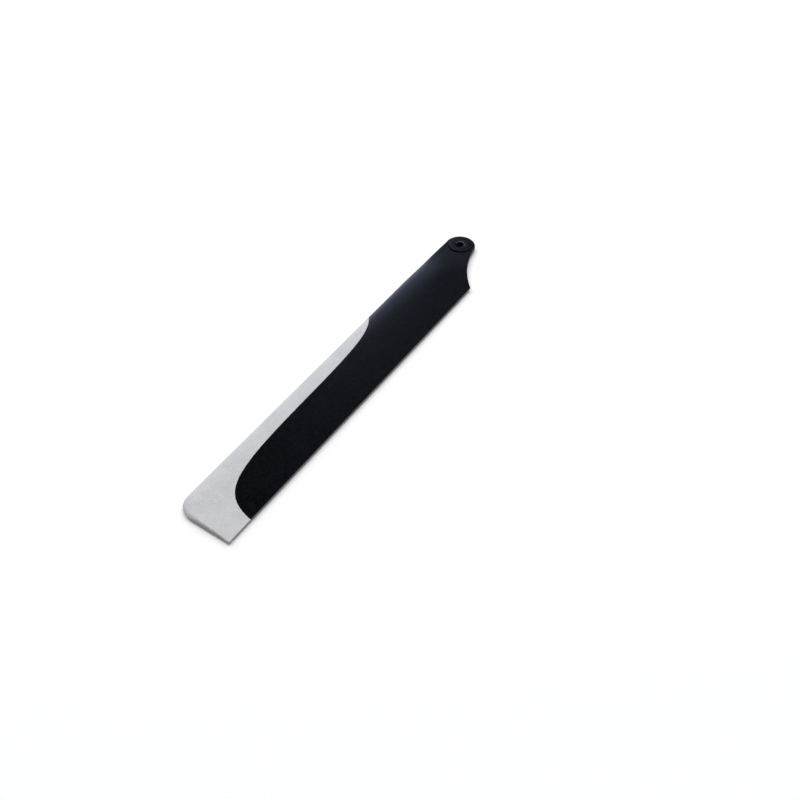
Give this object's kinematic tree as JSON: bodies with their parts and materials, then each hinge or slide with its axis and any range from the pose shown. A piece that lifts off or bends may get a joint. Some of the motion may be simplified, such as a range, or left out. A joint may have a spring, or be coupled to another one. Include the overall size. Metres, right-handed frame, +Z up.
{
  "type": "model helicopter main rotor blade",
  "caption": "Moulded main rotor blade of a small model helicopter: round root with bolt hole and raised pads, curved notch, symmetrical aerofoil and raked tip with a rounded leading corner.",
  "frame": {"origin": "centre of the bolt hole, on its axis and in the blade's chord plane", "axes": "+X from the bolt hole out along the blade to the tip, +Z up along the bolt hole, leading edge towards -Y"},
  "size_m": [0.1251, 0.0167, 0.0022],
  "materials": {
    "blade_plastic": "satin black moulded plastic, with the leading edge and the tip painted white"
  },
  "bodies": {
    "root": {"rotor_blade": "blade_plastic"}
  },
  "joints": []
}
